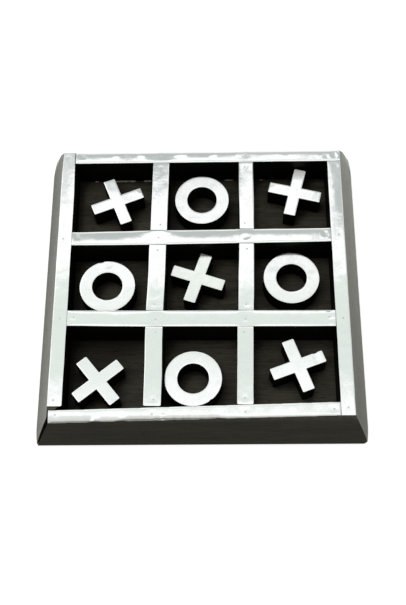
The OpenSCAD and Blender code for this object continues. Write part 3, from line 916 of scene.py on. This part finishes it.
def fold_front_strip():
    """The front strip keeps its width along the slanted rail, so its edge goes over the bevel.

    The fold starts at a line in y, and each row of the sheet's mesh beyond it bends a little more.
    """
    left, right = -111.29, 101.84
    first, row = -109.0, 0.5
    rear, front = first + 14 * row, first - 16 * row
    edge_at_left, edge_slope = -116.9, 0.0205
    end_at, end_askew = -107.4, 0.12
    middle = Vector(((left + right) / 2, (rear + front) / 2, SHEET_TOP))
    piece = add_sheet("front_strip_sheet_folded", right - left, rear - front, 160, 30, middle)
    saw(FRONT_LINE, FRONT_AWAY, close=False)
    saw((left, edge_at_left, 0), Vector((edge_slope, -1, 0)).normalized(), close=False)
    saw((left, end_at, 0), (-1, end_askew, 0), close=False)
    select_all()
    bpy.ops.mesh.remove_doubles(threshold=0.07 * MM)
    bpy.ops.mesh.normals_make_consistent(inside=False)
    for spot in PINS["rim_pins"]:
        if spot[1] < -107 and spot[0] < right:
            press(piece, near(*spot, 0.8), (0, 0, -0.12), 5)

    curls = (
        (left - 2, -77, (0, 2, 2, 2, 2, 1, 1, 1, 1, 1, 1, 2, 2, 2)),
        (-77, -58, (0, 1, 2, 2, 2, 1, 1, 1, 1.5, 1.5, 2, 2)),
        (-58, 14, (1, 1, 1.5, 1.5, 2, 2, 2.5, 2.5, 3, 3, 3)),
        (14, right + 1, (0, 0, 0, 1, 1, 2, 3, 3, 3, 3, 3)))
    for low, high, bends in curls:
        curl(piece, low, high, first, row, bends)
    for place, _, _ in curls[1:]:
        pick(piece, "verts", lambda v: abs(v.co.x / MM - place) < 5 and v.co.y < -111 * MM)
        bpy.ops.mesh.vertices_smooth(factor=0.5, repeat=12)

    for x, y, move, reach in (
            (-76.5, -115.8, (0, 0.1, 0.40), 4.5), (-56.5, -115.4, (0, 0.1, 0.40), 4.5),
            (-33.0, -113.2, (0, 0.3, 0.3), 3), (-27.5, -113.0, (0, -0.2, 0.35), 3),
            (-19.0, -113.2, (0, 0.35, 0.1), 2.5), (-13.0, -113.2, (0, 0.3, 0.1), 2.5),
            (-9.0, -113.2, (0, 0.3, 0.0), 2.5), (1.0, -113.0, (0, 0.3, 0.0), 2.5),
            (8.0, -113.0, (0, 0.3, 0.0), 2.5), (13.0, -113.0, (0, 0.25, 0.0), 2.5)):
        press(piece, near(x, y, 0.9), move, reach)
    warp(piece, 12, 0.06)
    warp(piece, 9, 0.07, "Y")
    roll_edges(piece, 0.15, 1.2, lambda v: v.co.x / MM > left + 1.5)
    thicken(piece, STRIP_THICK, STRIP_ARRIS)
    hand_over(piece, "board", "strip_front", STRIP_ACROSS, 40, firm=True)


fold_front_strip()


# Playing pieces

CROSS_SPAN = 42.7
CROSS_ARM = 9.6
RING_OUTER = 21.8
RING_INNER = 11.8
BLOCK_ARRIS = 0.22

# A face is a little smaller than its block
FACE_INSET = 0.15
FACE_THICK = 0.46
FACE_ARRIS = 0.08


def block_middle(block):
    """Middle of a piece's wooden block."""
    return middle_of(block) + Vector((0, 0, (FLOOR_TOP + PIECE_TOP) / 2))


def finish_face(sheet, block, face, material, dents):
    """Dents a piece's face, at places given from its middle, makes it uneven and lays it down."""
    middle = middle_of(block)
    for (x, y), move, reach in dents:
        press(sheet, near(middle[0] + x, middle[1] + y, 1.2), move, reach)
    warp(sheet, 14, 0.05)
    roll_edges(sheet, 0.06, 0.8)
    thicken(sheet, FACE_THICK, FACE_ARRIS)
    hand_over(sheet, block, face, material, 40, firm=True)


def soften_ends(sheet, top, reach, half, radius):
    """Files the outer corners of a cross's four arms round."""
    for ahead in (Vector((1, 0, 0)), Vector((0, 1, 0)), Vector((-1, 0, 0)), Vector((0, -1, 0))):
        def on_arm(face):
            return (face.calc_center_median() / MM - top).dot(ahead) > half
        for beside in (Vector((-ahead[1], ahead[0], 0)), Vector((ahead[1], -ahead[0], 0))):
            inside = top + ahead * (reach - radius) + beside * (half - radius)
            for degrees in (18, 36, 54, 72):
                angle = math.radians(degrees)
                out = ahead * math.cos(angle) + beside * math.sin(angle)
                pick(sheet, "faces", on_arm)
                saw(inside + radius * out, out, close=False, part=True)


def saw_cross(name, block, angle):
    """The wooden block of a cross."""
    centre = block_middle(block)
    piece = begin(name, bpy.ops.mesh.primitive_cube_add, size=1, location=centre * MM,
                  scale=(CROSS_ARM * MM, CROSS_ARM * MM, (PIECE_TOP - FLOOR_TOP) * MM))
    for side in (Vector((1, 0, 0)), Vector((-1, 0, 0)), Vector((0, 1, 0)), Vector((0, -1, 0))):
        beside = Vector((-side[1], side[0], 0))

        def end_face(f):
            off = (f.calc_center_median() - centre * MM).dot(beside)
            return f.normal.dot(side) > 0.99 and abs(off) < 0.1 * MM
        pick(piece, "faces", end_face)
        bpy.ops.mesh.extrude_region_move(
            TRANSFORM_OT_translate={"value": side * (CROSS_SPAN - CROSS_ARM) / 2 * MM})

    def outer_corner(edge):
        first, second = (v.co - centre * MM for v in edge.verts)
        return (first.xy - second.xy).length < 0.1 * MM and first.xy.length > CROSS_SPAN / 2 * MM
    ease(piece, outer_corner, 0.9, 4)
    select_all()
    turn(angle, "Z", centre)
    take_off_arrises(piece, BLOCK_ARRIS, 2)
    hand_over(piece, block, block, PIECE_WOOD, 35, firm=True)


def make_cross(where, degrees, material=PIECE_SHEET, tilt=0.0, dents=()):
    """A cross sawn out of black wood, and its metal face with softened, slightly bent ends."""
    block = "cross_" + where
    angle = math.radians(degrees)
    saw_cross("x_block_" + where, block, angle)

    cells, arm_cells = 41, 9
    size = (CROSS_SPAN - 2 * FACE_INSET) / cells
    half = arm_cells * size / 2
    top = middle_of(block) + Vector((0, 0, FACE_TOP))
    sheet = add_sheet("x_face_" + where, cells * size, cells * size, cells, cells, top)

    def waste(f):
        off = f.calc_center_median() / MM - top
        return abs(off[0]) > half and abs(off[1]) > half
    pick(sheet, "faces", waste)
    bpy.ops.mesh.delete(type="FACE")
    soften_ends(sheet, top, cells * size / 2, half, 0.8)
    select_all()
    bpy.ops.mesh.subdivide(number_cuts=1)
    select_all()
    turn(angle, "Z", top)
    turn(math.radians(tilt), "X", top)
    finish_face(sheet, block, "cross_face_" + where, material, dents)


def turn_ring(name, block):
    """The wooden block of a ring."""
    tall = PIECE_TOP - FLOOR_TOP
    section = block_middle(block) + Vector(((RING_OUTER + RING_INNER) / 2, 0, 0))
    piece = begin(name, bpy.ops.mesh.primitive_plane_add, size=1,
                  location=section * MM, rotation=(math.pi / 2, 0, 0))
    select_all()
    bpy.ops.transform.resize(value=((RING_OUTER - RING_INNER) * MM, 1, tall * MM),
                             center_override=section * MM)
    pick(piece, "verts", lambda v: True)
    bpy.ops.mesh.bevel(offset=BLOCK_ARRIS * MM, segments=2, affect="VERTICES")
    select_all()
    bpy.ops.mesh.delete(type="ONLY_FACE")
    select_all()
    bpy.ops.mesh.spin(steps=96, angle=2 * math.pi, center=middle_of(block) * MM, axis=(0, 0, 1))
    select_all()
    bpy.ops.mesh.remove_doubles(threshold=0.01 * MM)
    bpy.ops.mesh.normals_make_consistent(inside=False)
    hand_over(piece, block, block, PIECE_WOOD, 35, firm=True)


def make_ring(where, material=PIECE_SHEET, tilt=0.0, dents=()):
    """A ring turned out of black wood, and its metal face."""
    block = "ring_" + where
    turn_ring("o_block_" + where, block)

    top = middle_of(block) + Vector((0, 0, FACE_TOP))
    start = RING_INNER + FACE_INSET
    steps = 12
    growth = (RING_OUTER - FACE_INSET - start) / steps
    sheet = begin("o_face_" + where, bpy.ops.mesh.primitive_circle_add, vertices=120,
                  radius=start * MM, location=top * MM, fill_type="NOTHING")
    select_all()
    for step in range(steps):
        size = (start + growth * (step + 1)) / (start + growth * step)
        bpy.ops.mesh.extrude_region_move(TRANSFORM_OT_translate={"value": (0, 0, 0)})
        bpy.ops.transform.resize(value=(size, size, 1), center_override=top * MM)
    select_all()
    bpy.ops.mesh.normals_make_consistent(inside=False)
    select_all()
    turn(math.radians(tilt), "X", top)
    warp(sheet, 9, 0.10, "X")
    bpy.ops.object.mode_set(mode="EDIT")
    finish_face(sheet, block, "ring_face_" + where, material, dents)


make_cross("rear_left", 21.5, BRIGHT_SHEET, dents=(((19.0, 12.0), (0, 0, -0.10), 4),))
make_cross("rear_right", 75.9, HAZY_SHEET, tilt=0.3, dents=(((-19.3, 9.7), (0, 0, -0.10), 5.5),))
make_cross("centre", 71.2, DULL_PAINTED_GREY_SHEET)
make_cross("front_left", 39.1, tilt=0.6)
make_cross("front_right", 20.5, LEANING_SHEET, tilt=0.6, dents=(
    ((13.5, 7.6), (0, 0, -0.12), 3), ((15.0, 3.2), (0, 0, -0.12), 3),
    ((12.8, 9.9), (0.1, -0.5, 0), 1.2)))
make_ring("rear", tilt=0.7)
make_ring("left", tilt=-0.3, dents=(
    ((0.5, 19.5), (0, 0, -0.20), 5), ((-5.5, 20.5), (0.15, -0.5, 0), 1.5)))
make_ring("right", dents=(((-14.5, 4.0), (0, 0, -0.15), 5), ((15.5, 2.0), (0, 0, -0.15), 5)))
make_ring("front", LEANING_SHEET, dents=(((13.0, -17.0), (-0.3, 0.3, 0), 1.2),))


# Floor, light and camera

def white_floor():
    """A pale studio floor that keeps the board's soft shadow and looks white from anywhere."""
    bpy.ops.object.select_all(action="DESELECT")
    bpy.ops.mesh.primitive_plane_add(size=24, location=(0, 0, -0.05 * MM))
    floor = bpy.context.object
    floor.name = "studio_floor"
    paper = Finish(bpy.data.materials.new("studio_floor_paper"))
    ray = {way: paper.node("LightPath", {}, {}, f"Is {way} Ray")
           for way in ("Camera", "Glossy", "Transmission")}
    seen = ray["Camera"] + ray["Glossy"] + ray["Transmission"]
    matt = paper.node("BsdfDiffuse", {}, {"Color": (0.62, 0.62, 0.62, 1)})
    white = paper.blend((1, 1, 1, 1), (1, 1, 0.90, 1), ray["Glossy"])
    glow = paper.node("Emission", {}, {"Color": white, "Strength": 0.68 * seen})
    both = paper.node("AddShader", {}, {0: matt, 1: glow})
    paper.node("OutputMaterial", {}, {"Surface": both})
    floor.data.materials.append(paper.owner)


def soft_panel(name, low, high, height, radiance, colour):
    """A flat soft light overhead, between two corners in plan in metres."""
    wide, deep = high[0] - low[0], high[1] - low[1]
    light = bpy.data.lights.new(name, "AREA")
    light.shape = "RECTANGLE"
    light.size = wide
    light.size_y = deep
    light.energy = radiance * math.pi * wide * deep
    light.color = colour
    lamp = bpy.data.objects.new(name, light)
    lamp.location = ((low[0] + high[0]) / 2, (low[1] + high[1]) / 2, height)
    bpy.context.scene.collection.objects.link(lamp)


def light_room():
    """The room round the lamps: grey-blue above, white low down, dark high over the front."""
    room = Finish(bpy.data.worlds.new("studio_room"))
    bpy.context.scene.world = room.owner
    way = room.node("TexCoord", {}, {}, "Generated")
    ahead = room.node("SeparateXYZ", {}, {"Vector": way}, "Y")
    above = room.node("SeparateXYZ", {}, {"Vector": way}, "Z")
    colour = room.blend((1.0, 1.0, 0.97, 1), (0.515, 0.55, 0.545, 1), above.between(0.60, 0.76))
    colour = room.blend(colour, (0.20, 0.20, 0.19, 1),
                        (-1 * ahead).between(0.0, 0.6) * above.between(0.42, 0.62))
    glow = room.node("Background", {}, {"Color": colour, "Strength": 1.0})
    room.node("OutputWorld", {}, {"Surface": glow})


# The lamps: two corners in plan and the height in metres, the radiance and the colour
CEILING = 1.20
ROSY = (1.0, 0.94, 0.96)

white_floor()
light_room()
for panel, low, high, radiance, colour in (
        ("middle", (-0.42, 0.28), (0.42, 0.52), 0.31, (0.93, 1.0, 0.88)),
        ("rear", (-0.30, 0.52), (0.04, 0.78), 0.63, ROSY),
        ("rear_far", (0.04, 0.52), (0.235, 0.85), 0.62, ROSY),
        ("rear_left", (-0.42, 0.52), (-0.30, 0.70), 0.62, ROSY),
        ("far_left", (-0.42, 0.70), (-0.30, 0.86), 0.25, (1.0, 0.98, 1.0)),
        ("rear_right", (0.235, 0.52), (0.42, 0.64), 0.62, ROSY),
        ("near", (-0.42, -0.12), (0.42, 0.28), 0.58, ROSY),
        ("front", (-0.42, -0.80), (0.42, -0.12), 0.30, (1.0, 0.96, 0.93)),
        ("left", (-1.1, -0.80), (-0.42, 0.86), 1.0, ROSY),
        ("right", (0.42, -0.80), (1.1, 0.86), 0.2, ROSY)):
    soft_panel("overhead_" + panel, low, high, CEILING, radiance, colour)

CAMERA_PLACE = (0.0182, -0.3320, 0.7314)
CAMERA_HEADING = 0.0534
CAMERA_TILT = 0.4175
CAMERA_ROLL = -0.0576

lens = bpy.data.cameras.new("photo_camera")
lens.lens = 59.73
lens.sensor_width = 36.0
lens.sensor_fit = "AUTO"
lens.clip_start = 0.01
lens.clip_end = 60.0
camera = bpy.data.objects.new("photo_camera", lens)
camera.matrix_world = (
    Matrix.Translation(CAMERA_PLACE) @ Matrix.Rotation(CAMERA_HEADING, 4, "Z")
    @ Matrix.Rotation(CAMERA_TILT, 4, "X") @ Matrix.Rotation(CAMERA_ROLL, 4, "Z"))
bpy.context.scene.collection.objects.link(camera)
bpy.context.scene.camera = camera
bpy.context.scene.view_settings.view_transform = "Standard"
